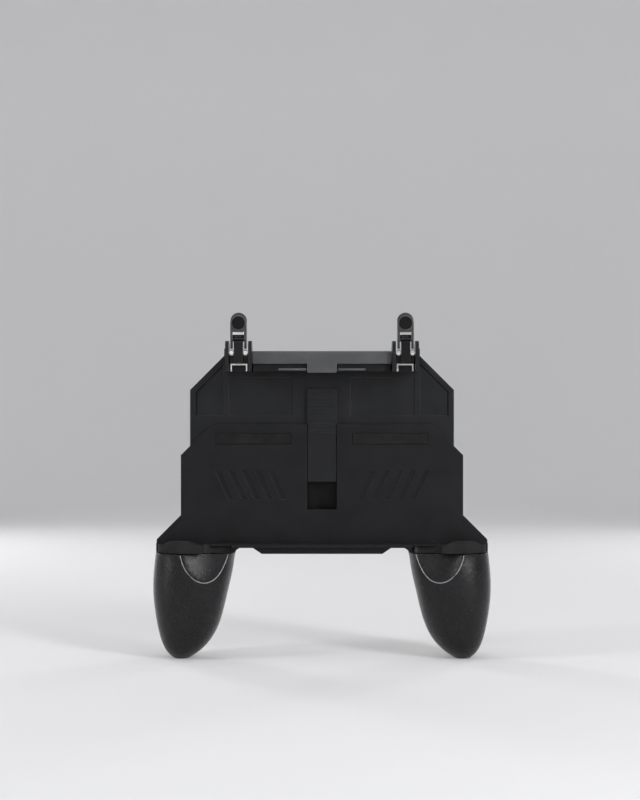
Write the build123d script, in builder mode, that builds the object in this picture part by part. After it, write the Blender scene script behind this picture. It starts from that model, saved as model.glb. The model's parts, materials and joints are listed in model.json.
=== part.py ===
from build123d import *
from math import copysign, cos, pi, sin, sqrt, tan, radians
import os

# Handheld controller that clamps a phone crosswise between a ledge and a sliding jaw.
# Lengths are in millimetres. X is to the right, Y to the back and Z up.
# The origin is on the floor, midway between the grips.

os.makedirs("parts", exist_ok=True)

# The phone that the bay is made for
phone_short = 77.4
phone_thick = 7.7

# Fits
fixed_gap = 0.02
running_gap = 0.06
part_gap = 0.3
overrun = 4.0

# Grips, from the floor up
grip_height = 48.0
grip_width = 37.6
grip_depth = 35.4
grip_axis_x = 57.3
grip_wall = 2.2
grip_parting_y = 2.0
ring_fullness = 0.86
ring_points = 12
# Each row: height, then reach inwards, outwards, forwards and backwards from the grip's axis
grip_row_shares = [
    (0.000, -0.080, 0.264, 0.130, 0.164),
    (0.032, -0.013, 0.318, 0.200, 0.222),
    (0.096, 0.093, 0.380, 0.290, 0.301),
    (0.193, 0.197, 0.431, 0.366, 0.375),
    (0.343, 0.290, 0.476, 0.434, 0.443),
    (0.514, 0.351, 0.508, 0.474, 0.485),
    (0.685, 0.402, 0.519, 0.493, 0.499),
    (0.857, 0.449, 0.505, 0.499, 0.486),
    (1.000, 0.481, 0.481, 0.498, 0.438),
]
solid_row_count = 2

# Thumb dish in the front of each grip
dish_x = 52.2
dish_setback = 3.6
dish_half_width = 11.6
dish_half_height = 14.2
dish_depth = 2.8
dish_stand_off = 0.5
dish_turn_degrees = 14
dish_tilt_degrees = 13.4

# Grip hinge behind the seam
seam_gap = 0.4
hinge_y = 12.5
hinge_rise = 0.3
knuckle_radius = 3.0
knuckle_half_length = 6.0
lug_length = 4.0
hinge_pin_diameter = 2.5
pin_head_length = 0.8

# Body shells
body_half_width = 75.0
body_foot_height = 3.0
body_shoulder_rise = 11.0
waist_half_width = 64.0
body_top_z = 106.0
body_top_half_width = 50.0
body_bottom_z = 50.8
body_corner_radius = 6.0
body_foot_radius = 1.2
shell_rib = 2.4
arch_inner_x = 35.0
arch_outer_x = 39.4
arch_reach = 9.0
groove_count = 5
groove_first_x = 16.0
groove_pitch = 6.0
groove_width = 2.6
groove_height = 13.0
groove_lean = 6.0
groove_bottom_z = 72.0
groove_depth = 0.7
front_face_y = -3.0
front_wall = 2.2
shell_parting_y = 1.1
rear_face_y = 5.5
rear_wall = 2.5
saddle_rear_y = 9.0
saddle_top_drop = 0.5

# Ledge under the phone
phone_rest_z = 52.3
ledge_front_y = -14.0
ledge_flat_half_width = 38.0
ledge_tip_height = 1.0
ledge_pad_thick = 0.8
ledge_pad_proud = 0.2
ledge_pad_half_width = 50.0
ledge_pad_depth = 8.6
ledge_pad_front_y = -12.2

# Chin plate under the ledge
chin_top_half_width = 31.0
chin_bottom_half_width = 27.0
chin_drop = 2.7
chin_front_setback = 0.8
chin_rear_y = 0.6

# Corner rests
rest_inner_x = 53.3
rest_inset = 0.7
rest_top_drop = 0.6
rest_lip_x = 63.4
rest_lip_top_width = 8.0
rest_lip_foot_width = 20.2
rest_lip_height = 1.5

# Grip strips that the phone's back lies on
strip_proud = 0.5
strip_thick = 1.0
strip_inner_x = 14.0
strip_length = 34.0
strip_height = 5.0
strip_top_drop = 4.0

# Sliding jaw
jaw_half_width = 60.0
jaw_bottom_z = 80.0
jaw_thick = 3.2
jaw_back_y = 2.7
jaw_travel_down = 12.4
jaw_shoulder_half_width = 43.8
jaw_top_drop = 1.1
jaw_rim = 2.4
jaw_groove = 0.7
jaw_panel_depth = 0.6
jaw_groove_depth = 1.3
jaw_side_gap = 0.3
tongue_half_width = 6.5
tongue_proud = 2.0
tongue_top_z = 122.0
rib_count = 6
rib_pitch = 3.2
rib_height = 1.2
rib_proud = 0.3
panel_foot_rise = 4.0

# Detent between the jaw's rack and the leaf spring
rack_pitch = 4.0
rack_depth = 0.9
rack_half_width = 5.0
rack_first_z = 86.0
rack_count = 7
leaf_z = 94.0
leaf_half_length = 5.6
leaf_thick = 0.5
leaf_width = 8.0
leaf_foot_length = 1.5
leaf_shoulder = 2.2
leaf_nose_gap = 0.25

# Hump behind the body, which holds the leaf spring
hump_half_width = 36.0
hump_bottom_z = 61.0
hump_top_z = 105.0
hump_depth = 4.5
hump_wall = 2.0
hump_slope = 3.0
runner_x = 20.0
louvre_count = 5
louvre_pitch = 3.4
louvre_height = 1.3
louvre_length = 22.0
louvre_depth = 0.8

# Crossbar over the phone's top edge
bar_half_width = 31.1
bar_height = 5.6
bar_wall = 1.4
bar_front_y = -14.5
bar_edge_radius = 2.2
tab_half_width = 6.6
tab_corner_radius = 0.6
tab_drop = 0.4
jaw_pad_height = 3.6
jaw_pad_setback = 1.1
jaw_pad_gap = 0.3
pad_rib_length = 12.6
pad_rib_height = 0.5
pad_rib_rise = 1.0
pad_rib_proud = 0.4

# Triggers
trigger_x = 37.3
pivot_y = -14.7
pivot_rise = 4.8
ear_outer_reach = 5.9
ear_thick = 1.55
ear_front_y = -17.5
ear_rise = 13.7
ear_corner_radius = 2.8
ear_shelf = 4.2
bracket_foot_gap = 0.2
web_thick = 3.0
web_rise = 8.4
ear_boss_diameter = 4.0
ear_boss_proud = 0.4
main_pin_diameter = 1.3

# Trigger lever
lever_width = 4.1
lever_radius = 5.7
lever_front_reach = 2.3
lever_rear_reach = 3.3
lever_drop = 4.6
counter_width = 8.3
counter_top_drop = 0.6
counter_bottom_drop = 4.3
counter_front_reach = 1.9
counter_rear_reach = 8.2
paddle_width = 7.3
paddle_gap = 0.3
paddle_thick = 2.0
paddle_top_rise = 18.0
paddle_bottom_rise = 5.0
paddle_edge_radius = 0.7
stem_width = 3.4
stem_height = 8.0
stem_depth = 0.9

# Pad arm
arm_width = 7.3
arm_top_rise = 16.7
arm_front_reach = 1.6
arm_rear_reach = 1.0
arm_slab_rise = 6.1
arm_leg_width = 1.1
arm_leg_foot_rise = 1.8
eyelet_diameter = 2.8
eyelet_inner_reach = 2.35
eyelet_outer_reach = 3.85
fork_leg_width = 0.6
fork_leg_thick = 0.8
fork_leg_bite = 0.35
contact_width = 5.0
contact_height = 1.1
contact_rise = 8.0
window_height = 1.7
window_depth = 0.7
touch_pad_radius = 2.9
touch_pad_rise = 13.3
touch_pad_proud = 1.0
touch_pad_seat = 1.0
touch_pad_dome = 0.25
pad_ring_width = 0.35
pad_ring_proud = 0.3

# Sheet steel yoke between the ears
yoke_width = 7.6
yoke_sheet = 0.7
yoke_front_y = -11.6

# Return spring behind each trigger lever
spring_wire = 0.35
spring_radius = 1.0
spring_turns = 3
spring_end_rise = 0.7
spring_drop = 2.5
spring_seat_depth = 1.6
spring_pocket_gap = 0.25
quarter_turns = 4
spring_samples = 240

# Screws
screw_diameter = 2.0
screw_head_diameter = 3.8
screw_head_height = 1.4
cross_length = 2.2
cross_width = 0.5
cross_depth = 0.6
shell_screw_places_share = [(0.867, 0.07), (0.30, 0.16)]
shell_screw_length = 6.4
boss_wall = 1.4
grip_screw_rise_shares = [0.26, 0.70]
grip_screw_length = 15.0
grip_screw_sink = 3.0
cover_screw_x = 22.0
jaw_screw_length = 4.6
cover_boss_depth = 6.0
bracket_screw_drop = 0.6

# Places that follow from the sizes above
seam_z = grip_height + seam_gap
hinge_z = grip_height + hinge_rise
saddle_top_z = phone_rest_z - saddle_top_drop
phone_back_y = front_face_y - strip_proud
phone_front_y = phone_back_y - phone_thick
jaw_front_y = jaw_back_y - jaw_thick
jaw_rest_z = phone_rest_z + phone_short
bar_bottom_z = jaw_rest_z + jaw_pad_height
bar_top_z = bar_bottom_z + bar_height
jaw_top_z = bar_top_z - jaw_top_drop
pivot_z = bar_bottom_z + pivot_rise
web_front_y = jaw_front_y - web_thick
pocket_bottom_z = jaw_bottom_z - jaw_travel_down - part_gap
pocket_half_width = jaw_half_width + jaw_side_gap
pocket_front_y = front_face_y + front_wall
pocket_back_y = rear_face_y - rear_wall
hump_back_y = rear_face_y + hump_depth
spring_z = pivot_z - spring_drop


def face_plane(y):
    """Plane seen from the front at depth y; a positive extrusion comes forward."""
    return Plane.XZ.offset(-y)


def side_plane(x):
    """Plane seen from the side at x; a positive extrusion goes to the right."""
    return Plane.YZ.offset(x)


def both_sides(points):
    """Outline of a symmetric plate from the points of its right half, bottom to top."""
    return points + [(-x, z) for x, z in reversed(points)]


def save(builder, label):
    """Name the finished piece and write its file."""
    builder.part.label = label
    export_step(builder.part, f"parts/{label}.step")


def save_pair(builder, name):
    """Write the right-hand piece and its mirrored left-hand twin."""
    with BuildPart() as twin:
        mirror(builder.part, about=Plane.YZ)
    save(builder, name + "_right")
    save(twin, name + "_left")


def slab(x0, x1, y0, y1, z0, z1, mode=Mode.ADD):
    """Block between two corners, added to or cut from the piece in work."""
    with BuildSketch(Plane.XY.offset(z0)) as base:
        with Locations(((x0 + x1) / 2, (y0 + y1) / 2)):
            Rectangle(x1 - x0, y1 - y0)
    extrude(base.sketch, amount=z1 - z0, mode=mode)


def rod_along_x(x0, x1, y, z, radius, mode=Mode.ADD):
    """Round bar or bore from x0 to x1."""
    with BuildSketch(side_plane(x0)) as end:
        with Locations((y, z)):
            Circle(radius)
    extrude(end.sketch, amount=x1 - x0, mode=mode)


def rod_along_y(x, z, y_back, y_front, radius, mode=Mode.ADD):
    """Round bar or bore from the back to the front."""
    with BuildSketch(face_plane(y_back)) as end:
        with Locations((x, z)):
            Circle(radius)
    extrude(end.sketch, amount=y_back - y_front, mode=mode)


def screw(x, z, head_y, length):
    """Pan head screw with a cross recess that points forward from its head."""
    rod_along_y(x, z, head_y, head_y - screw_head_height, screw_head_diameter / 2)
    seat_y = head_y - screw_head_height
    rod_along_y(x, z, seat_y, seat_y - length, screw_diameter / 2)
    with BuildSketch(face_plane(head_y)) as cross:
        with Locations((x, z)):
            Rectangle(cross_length, cross_width)
            Rectangle(cross_width, cross_length)
    extrude(cross.sketch, amount=cross_depth, mode=Mode.SUBTRACT)


def screw_bore(x, z, head_y, length, back_y):
    """Stepped hole for one screw, open to the back."""
    seat_y = head_y - screw_head_height
    head_radius = screw_head_diameter / 2 + 2 * running_gap
    rod_along_y(x, z, back_y + overrun, seat_y, head_radius, Mode.SUBTRACT)
    rod_along_y(x, z, seat_y, seat_y - length - fixed_gap,
                screw_diameter / 2 + fixed_gap, Mode.SUBTRACT)


# Grip outline


def swell(value):
    """Cosine or sine, filled out so that a ring is squarer than an ellipse."""
    return copysign(abs(value) ** ring_fullness, value)


def grip_ring(row, inset):
    """Points of one level ring round the right grip, drawn in by the inset."""
    inner_x = grip_axis_x - grip_width * row[1] + inset
    outer_x = grip_axis_x + grip_width * row[2] - inset
    front_y = -grip_depth * row[3] + inset
    rear_y = grip_depth * row[4] - inset
    turn = 2 * pi / ring_points
    return [
        (
            (inner_x + outer_x) / 2 + (outer_x - inner_x) / 2 * swell(cos(turn * step)),
            (front_y + rear_y) / 2 + (rear_y - front_y) / 2 * swell(sin(turn * step)),
        )
        for step in range(ring_points)
    ]


def ring_sketch(row, inset, z):
    """Filled ring at height z."""
    with BuildSketch(Plane.XY.offset(z)) as ring:
        with BuildLine():
            Spline(*grip_ring(row, inset), periodic=True)
        make_face()
    return ring.sketch


with BuildPart() as grip_blank:
    loft([ring_sketch(row, 0, row[0] * grip_height) for row in grip_row_shares])

dish_turn = radians(dish_turn_degrees)
dish_tilt = radians(dish_tilt_degrees)
dish_way = Vector(-sin(dish_turn) * cos(dish_tilt), -cos(dish_turn) * cos(dish_tilt), sin(dish_tilt))
dish_chord = Vector(dish_x, dish_setback - grip_depth * grip_row_shares[-1][3], seam_z)


def scoop(grow):
    """Thumb dish as a solid: a shallow bowl that is open to the front, grown by a wall."""
    mouth = Plane(
        dish_chord + dish_way * dish_stand_off,
        x_dir=(cos(dish_turn), -sin(dish_turn), 0),
        z_dir=dish_way,
    )
    half_width = dish_half_width + grow
    half_height = dish_half_height + grow
    bowl = mouth * scale(Sphere(1), by=(half_width, half_height, dish_depth + grow))
    return bowl + extrude(mouth * Ellipse(half_width, half_height), amount=grip_depth / 2)


dish = scoop(0)
dish_wall = scoop(grip_wall)

grip_screw_spots = [(grip_axis_x, share * grip_height) for share in grip_screw_rise_shares]
grip_boss_radius = screw_head_diameter / 2 + boss_wall
grip_screw_head_y = grip_parting_y + grip_screw_sink + grip_screw_length / 2

with BuildPart() as grip_hollow:
    hollow_rows = grip_row_shares[solid_row_count:-1]
    loft([ring_sketch(row, grip_wall, row[0] * grip_height) for row in hollow_rows])
    add(dish_wall, mode=Mode.SUBTRACT)
    for spot_x, spot_z in grip_screw_spots:
        rod_along_y(spot_x, spot_z, grip_depth, -grip_depth, grip_boss_radius, Mode.SUBTRACT)

lug_inner = knuckle_half_length + part_gap
lug_outer = lug_inner + lug_length
lug_room = lug_outer + knuckle_radius
knuckle_clear = knuckle_radius + part_gap

with BuildPart() as grip_whole:
    add(grip_blank.part)
    add(grip_hollow.part, mode=Mode.SUBTRACT)
    add(dish, mode=Mode.SUBTRACT)
    # Barrel of the hinge
    rod_along_x(grip_axis_x - knuckle_half_length, grip_axis_x + knuckle_half_length,
                hinge_y, hinge_z, knuckle_radius)
    # Room for the body's lugs beside the barrel, open to the back
    for near, far in ((-lug_room, -knuckle_half_length), (knuckle_half_length, lug_room)):
        rod_along_x(grip_axis_x + near, grip_axis_x + far, hinge_y, hinge_z,
                    knuckle_clear, Mode.SUBTRACT)
        slab(grip_axis_x + near, grip_axis_x + far, hinge_y, grip_depth,
             hinge_z - knuckle_clear, hinge_z, Mode.SUBTRACT)
    rod_along_x(grip_axis_x - grip_width, grip_axis_x + grip_width,
                hinge_y, hinge_z, hinge_pin_diameter / 2 + running_gap, Mode.SUBTRACT)
    for spot_x, spot_z in grip_screw_spots:
        screw_bore(spot_x, spot_z, grip_screw_head_y, grip_screw_length, grip_depth)

with BuildPart() as grip_front_right:
    add(grip_whole.part)
    split(bisect_by=face_plane(grip_parting_y), keep=Keep.TOP)
save_pair(grip_front_right, "grip_front")

with BuildPart() as grip_rear_right:
    add(grip_whole.part)
    split(bisect_by=face_plane(grip_parting_y), keep=Keep.BOTTOM)
save_pair(grip_rear_right, "grip_rear")

with BuildPart() as grip_screws_right:
    for spot_x, spot_z in grip_screw_spots:
        screw(spot_x, spot_z, grip_screw_head_y, grip_screw_length)
save_pair(grip_screws_right, "grip_screws")

with BuildPart() as grip_pin_right:
    rod_along_x(grip_axis_x - lug_outer - pin_head_length, grip_axis_x + lug_outer,
                hinge_y, hinge_z, hinge_pin_diameter / 2)
save_pair(grip_pin_right, "grip_pin")

# Body shells

ledge_top_z = phone_rest_z - ledge_pad_proud
body_points = [
    (body_half_width, body_bottom_z),
    (body_half_width, body_bottom_z + body_foot_height),
    (waist_half_width, body_bottom_z + body_foot_height + body_shoulder_rise),
    (waist_half_width, body_top_z - (waist_half_width - body_top_half_width)),
    (body_top_half_width, body_top_z),
]
body_height = body_top_z - body_bottom_z
shell_screw_spots = [
    (side * share_x * body_half_width, body_bottom_z + body_height * share_z)
    for share_x, share_z in shell_screw_places_share
    for side in (-1, 1)
]
shell_screw_head_y = rear_face_y - fixed_gap
shell_boss_radius = screw_head_diameter / 2 + boss_wall
slot_half_width = tongue_half_width + jaw_side_gap
chamber_top_z = pocket_bottom_z - shell_rib
chamber_bottom_z = body_bottom_z + shell_rib
chamber_half_width = waist_half_width - 2 * shell_rib


def body_sketch(y):
    """Outline of both shells at depth y."""
    with BuildSketch(face_plane(y)) as outline:
        Polygon(*both_sides(body_points))
        corners = outline.vertices().sort_by(Axis.Y)
        fillet(corners[:4], body_foot_radius)
        fillet(outline.vertices().sort_by(Axis.Y)[-2:], body_corner_radius)
    return outline.sketch


def saddle(y_back, y_front):
    """Blocks over the grips that carry on their outline above the seam."""
    for side in (-1, 1):
        ring = [(side * x, y) for x, y in grip_ring(grip_row_shares[-1], 0)]
        with BuildSketch(Plane.XY.offset(seam_z)) as top:
            with BuildLine():
                Spline(*ring, periodic=True)
            make_face()
            with Locations((side * grip_axis_x, (y_back + y_front) / 2)):
                Rectangle(2 * grip_width, y_back - y_front, mode=Mode.INTERSECT)
        extrude(top.sketch, amount=saddle_top_z - seam_z)


def arch(y_back, y_front):
    """Hollow curve from the body's underside down to each saddle's inner side."""
    for side in (-1, 1):
        with BuildSketch(face_plane(y_back)) as web:
            with BuildLine():
                TangentArc((side * arch_inner_x, body_bottom_z), (side * arch_outer_x, seam_z),
                           tangent=(side, 0))
                Polyline((side * arch_outer_x, seam_z), (side * rest_inner_x, seam_z),
                         (side * rest_inner_x, body_bottom_z),
                         (side * arch_inner_x, body_bottom_z))
            make_face()
        extrude(web.sketch, amount=y_back - y_front)


def strip_box(x0, x1, grow, mode):
    """Block of a grip strip, or its seat when grown by a gap."""
    top_z = body_top_z - strip_top_drop
    slab(x0 - grow, x1 + grow, front_face_y - strip_proud,
         front_face_y - strip_proud + strip_thick,
         top_z - strip_height - grow, top_z + grow, mode)


with BuildPart() as front_shell:
    extrude(body_sketch(shell_parting_y), amount=shell_parting_y - front_face_y)
    # Chamber behind the lower front wall, with the bosses that the screws bite in
    slab(-chamber_half_width, chamber_half_width, pocket_front_y, shell_parting_y + overrun,
         chamber_bottom_z, chamber_top_z, Mode.SUBTRACT)
    for spot_x, spot_z in shell_screw_spots:
        rod_along_y(spot_x, spot_z, shell_parting_y, pocket_front_y, shell_boss_radius)
    # Pocket for the jaw plate and slot for its tongue, both open at the top
    slab(-pocket_half_width, pocket_half_width, pocket_front_y, shell_parting_y + overrun,
         pocket_bottom_z, body_top_z + overrun, Mode.SUBTRACT)
    slab(-slot_half_width, slot_half_width, front_face_y - overrun, shell_parting_y + overrun,
         pocket_bottom_z, body_top_z + overrun, Mode.SUBTRACT)
    # Slanted finger grooves beside the slot
    for side in (-1, 1):
        for step in range(groove_count):
            foot_x = groove_first_x + groove_pitch * step
            with BuildSketch(face_plane(front_face_y + groove_depth)) as groove:
                Polygon(
                    (side * foot_x, groove_bottom_z),
                    (side * (foot_x + groove_width), groove_bottom_z),
                    (side * (foot_x + groove_width + groove_lean), groove_bottom_z + groove_height),
                    (side * (foot_x + groove_lean), groove_bottom_z + groove_height),
                )
            extrude(groove.sketch, amount=groove_depth, mode=Mode.SUBTRACT)
    # Ledge, which thins out towards the corner rests
    with BuildSketch(face_plane(front_face_y)) as ledge:
        Polygon(*both_sides([
            (ledge_flat_half_width, body_bottom_z),
            (rest_inner_x, ledge_top_z - ledge_tip_height),
            (rest_inner_x, ledge_top_z),
        ]))
    extrude(ledge.sketch, amount=front_face_y - ledge_front_y)
    saddle(shell_parting_y, -grip_depth)
    arch(shell_parting_y, -arch_reach)
    # Room for the corner rests
    for side in (-1, 1):
        near, far = sorted((side * rest_inner_x, side * 2 * body_half_width))
        slab(near, far, -grip_depth, front_face_y, seam_z - overrun, phone_rest_z, Mode.SUBTRACT)
        add(dish if side > 0 else dish.mirror(Plane.YZ), mode=Mode.SUBTRACT)
    # Seats of the ledge pad and the two grip strips
    slab(-ledge_pad_half_width - fixed_gap, ledge_pad_half_width + fixed_gap,
         ledge_pad_front_y - fixed_gap, ledge_pad_front_y + ledge_pad_depth + fixed_gap,
         phone_rest_z - ledge_pad_thick, phone_rest_z + overrun, Mode.SUBTRACT)
    strip_box(strip_inner_x, strip_inner_x + strip_length, fixed_gap, Mode.SUBTRACT)
    strip_box(-strip_inner_x - strip_length, -strip_inner_x, fixed_gap, Mode.SUBTRACT)
    for spot_x, spot_z in shell_screw_spots:
        rod_along_y(spot_x, spot_z, rear_face_y, rear_face_y - screw_head_height
                    - shell_screw_length - fixed_gap,
                    screw_diameter / 2 + fixed_gap, Mode.SUBTRACT)
save(front_shell, "front_shell")

with BuildPart() as hump:
    slab(-hump_half_width, hump_half_width, rear_face_y - rear_wall, hump_back_y,
         hump_bottom_z, hump_top_z)
    chamfer(hump.edges().group_by(Axis.Y)[-1], hump_slope)

with BuildPart() as rear_shell:
    extrude(body_sketch(rear_face_y), amount=rear_face_y - shell_parting_y)
    add(hump.part)
    # Chamber behind the phone's lower edge, pocket for the jaw plate, room for the leaf spring
    slab(-chamber_half_width, chamber_half_width, shell_parting_y - overrun, pocket_back_y,
         chamber_bottom_z, chamber_top_z, Mode.SUBTRACT)
    for spot_x, spot_z in shell_screw_spots:
        rod_along_y(spot_x, spot_z, pocket_back_y, shell_parting_y, shell_boss_radius)
    slab(-pocket_half_width, pocket_half_width, shell_parting_y - overrun, pocket_back_y,
         pocket_bottom_z, body_top_z + overrun, Mode.SUBTRACT)
    slab(-hump_half_width + hump_wall + hump_slope, hump_half_width - hump_wall - hump_slope,
         pocket_back_y - fixed_gap, hump_back_y - hump_wall,
         hump_bottom_z + hump_wall + hump_slope, hump_top_z - hump_wall - hump_slope,
         Mode.SUBTRACT)
    # Runners beside the leaf spring, which the jaw plate slides on
    for side in (-1, 1):
        near, far = sorted((side * runner_x, side * (runner_x + hump_wall)))
        slab(near, far, pocket_back_y, hump_back_y - hump_wall,
             hump_bottom_z + hump_wall, hump_top_z - hump_wall)
    # Louvres in the hump's back
    for step in range(louvre_count):
        centre_z = (hump_bottom_z + hump_top_z) / 2 + louvre_pitch * (step - (louvre_count - 1) / 2)
        slab(-louvre_length / 2, louvre_length / 2, hump_back_y - louvre_depth,
             hump_back_y + overrun, centre_z - louvre_height / 2,
             centre_z + louvre_height / 2, Mode.SUBTRACT)
    saddle(saddle_rear_y, shell_parting_y)
    arch(saddle_rear_y - arch_reach / 2, shell_parting_y)
    # Hinge lugs
    for side in (-1, 1):
        for lug_side in (-1, 1):
            near, far = sorted((
                side * grip_axis_x + lug_side * lug_inner,
                side * grip_axis_x + lug_side * lug_outer,
            ))
            rod_along_x(near, far, hinge_y, hinge_z, knuckle_radius)
            slab(near, far, saddle_rear_y - hump_wall, hinge_y, seam_z, hinge_z + knuckle_radius)
        rod_along_x(side * grip_axis_x - grip_width, side * grip_axis_x + grip_width,
                    hinge_y, hinge_z, hinge_pin_diameter / 2 + fixed_gap, Mode.SUBTRACT)
    for spot_x, spot_z in shell_screw_spots:
        screw_bore(spot_x, spot_z, shell_screw_head_y, shell_screw_length, rear_face_y)
save(rear_shell, "rear_shell")

with BuildPart() as shell_screws:
    for spot_x, spot_z in shell_screw_spots:
        screw(spot_x, spot_z, shell_screw_head_y, shell_screw_length)
save(shell_screws, "shell_screws")

with BuildPart() as chin_plate:
    with BuildSketch(face_plane(chin_rear_y)):
        Polygon(*both_sides([
            (chin_bottom_half_width, body_bottom_z - chin_drop),
            (chin_top_half_width, body_bottom_z),
        ]))
    extrude(amount=chin_rear_y - ledge_front_y - chin_front_setback)
save(chin_plate, "chin_plate")

with BuildPart() as ledge_pad:
    slab(-ledge_pad_half_width, ledge_pad_half_width, ledge_pad_front_y,
         ledge_pad_front_y + ledge_pad_depth, phone_rest_z - ledge_pad_thick, phone_rest_z)
    fillet(ledge_pad.edges().group_by(Axis.Z)[-1], ledge_pad_proud / 2)
save(ledge_pad, "ledge_pad")

rest_top_z = phone_rest_z - rest_top_drop
rest_lip_z = phone_rest_z + rest_lip_height


def rest_sketch(z, rear_y):
    """Outline of the right corner rest at height z, cut off behind rear_y."""
    with BuildSketch(Plane.XY.offset(z)) as outline:
        with BuildLine():
            Spline(*grip_ring(grip_row_shares[-1], rest_inset), periodic=True)
        make_face()
        with Locations((rest_inner_x + grip_width / 2, rear_y - grip_depth / 2)):
            Rectangle(grip_width, grip_depth, mode=Mode.INTERSECT)
    return outline.sketch


with BuildPart() as corner_rest_right:
    extrude(rest_sketch(seam_z, front_face_y), amount=rest_top_z - seam_z)
    # Lip in front of the phone's lower edge, sloping down to both ends
    extrude(rest_sketch(rest_top_z, phone_front_y - part_gap), amount=rest_lip_z - rest_top_z)
    for side in (-1, 1):
        with BuildSketch(face_plane(0)) as slope:
            Polygon(
                (rest_lip_x + side * rest_lip_foot_width / 2, rest_top_z),
                (rest_lip_x + side * rest_lip_top_width / 2, rest_lip_z),
                (rest_lip_x + side * grip_width, rest_lip_z),
                (rest_lip_x + side * grip_width, rest_top_z),
            )
        extrude(slope.sketch, amount=grip_depth, mode=Mode.SUBTRACT)
save_pair(corner_rest_right, "corner_rest")

with BuildPart() as back_pad_right:
    strip_box(strip_inner_x, strip_inner_x + strip_length, 0, Mode.ADD)
    fillet(back_pad_right.edges().group_by(Axis.Y)[0], strip_proud / 2)
save_pair(back_pad_right, "back_pad")

# Sliding jaw

jaw_points = [
    (jaw_half_width, jaw_bottom_z),
    (jaw_half_width, jaw_top_z - (jaw_half_width - jaw_shoulder_half_width)),
    (jaw_shoulder_half_width, jaw_top_z),
]
beam_half_width = bar_half_width - bar_wall
beam_top_z = bar_top_z - bar_wall
cover_boss_radius = screw_diameter
cover_screw_z = beam_top_z - cover_boss_radius + running_gap
jaw_screw_head_y = jaw_back_y - fixed_gap
jaw_screw_spots = [
    (-trigger_x, bar_bottom_z - bracket_screw_drop),
    (-cover_screw_x, cover_screw_z),
    (cover_screw_x, cover_screw_z),
    (trigger_x, bar_bottom_z - bracket_screw_drop),
]
panel_outer_x = jaw_half_width - jaw_rim - jaw_groove
panel_slope_z = jaw_points[1][1] - (jaw_rim + jaw_groove) * tan(radians(45) / 2)
panel_inner_x = trigger_x + ear_outer_reach + ear_thick
panel_bottom_z = body_top_z + panel_foot_rise

with BuildPart() as jaw_frame:
    with BuildSketch(face_plane(jaw_back_y)):
        Polygon(*both_sides(jaw_points))
    extrude(amount=jaw_thick)
    # Sunk panels inside the rim strips
    for side in (-1, 1):
        with BuildSketch(face_plane(jaw_front_y + jaw_groove_depth)) as groove:
            Polygon(
                (side * (panel_outer_x + jaw_groove), panel_bottom_z),
                (side * (panel_outer_x + jaw_groove), panel_slope_z + jaw_groove / 2),
                (side * panel_inner_x,
                 panel_slope_z + jaw_groove * 3 / 2 + panel_outer_x - panel_inner_x),
                (side * panel_inner_x, panel_slope_z + panel_outer_x - panel_inner_x),
                (side * panel_outer_x, panel_slope_z),
                (side * panel_outer_x, panel_bottom_z),
            )
        extrude(groove.sketch, amount=jaw_groove_depth, mode=Mode.SUBTRACT)
        with BuildSketch(face_plane(jaw_front_y + jaw_panel_depth)) as panel:
            Polygon(
                (side * panel_inner_x, panel_bottom_z),
                (side * panel_outer_x, panel_bottom_z),
                (side * panel_outer_x, panel_slope_z),
                (side * panel_inner_x, panel_slope_z + panel_outer_x - panel_inner_x),
            )
        extrude(panel.sketch, amount=jaw_panel_depth, mode=Mode.SUBTRACT)
        near, far = sorted((side * 2 * tongue_half_width, side * (panel_inner_x - jaw_rim)))
        slab(near, far, jaw_front_y - overrun, jaw_front_y + jaw_panel_depth,
             panel_bottom_z, jaw_rest_z - jaw_rim, Mode.SUBTRACT)
    # Tongue in the body's slot, with ribs across it
    slab(-tongue_half_width, tongue_half_width, jaw_front_y - tongue_proud, jaw_front_y,
         jaw_bottom_z, tongue_top_z)
    for step in range(rib_count):
        rib_z = tongue_top_z - rib_pitch * (step + 1)
        slab(-tongue_half_width + jaw_rim / 2, tongue_half_width - jaw_rim / 2,
             jaw_front_y - tongue_proud - rib_proud, jaw_front_y - tongue_proud,
             rib_z - rib_height / 2, rib_z + rib_height / 2)
    # Beam under the crossbar cover and the root of its tab
    slab(-beam_half_width, beam_half_width, bar_front_y + bar_wall, jaw_front_y,
         bar_bottom_z, beam_top_z)
    slab(-tab_half_width + jaw_pad_gap, tab_half_width - jaw_pad_gap,
         bar_front_y + bar_wall, jaw_front_y, jaw_rest_z + jaw_pad_gap, bar_bottom_z)
    # Rack for the leaf spring in the back of the plate
    for step in range(rack_count):
        notch_z = rack_first_z + rack_pitch * step
        with BuildSketch(side_plane(-rack_half_width)) as notch:
            Polygon(
                (jaw_back_y, notch_z - 2 * rack_depth),
                (jaw_back_y - rack_depth, notch_z - rack_depth),
                (jaw_back_y - rack_depth, notch_z + rack_depth),
                (jaw_back_y, notch_z + 2 * rack_depth),
            )
        extrude(notch.sketch, amount=2 * rack_half_width, mode=Mode.SUBTRACT)
    for side in (-1, 1):
        rod_along_y(side * cover_screw_x, cover_screw_z, jaw_front_y,
                    jaw_front_y - cover_boss_depth - part_gap,
                    cover_boss_radius + running_gap, Mode.SUBTRACT)
    for spot_x, spot_z in jaw_screw_spots:
        screw_bore(spot_x, spot_z, jaw_screw_head_y, jaw_screw_length, jaw_back_y)
save(jaw_frame, "jaw_frame")

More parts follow.
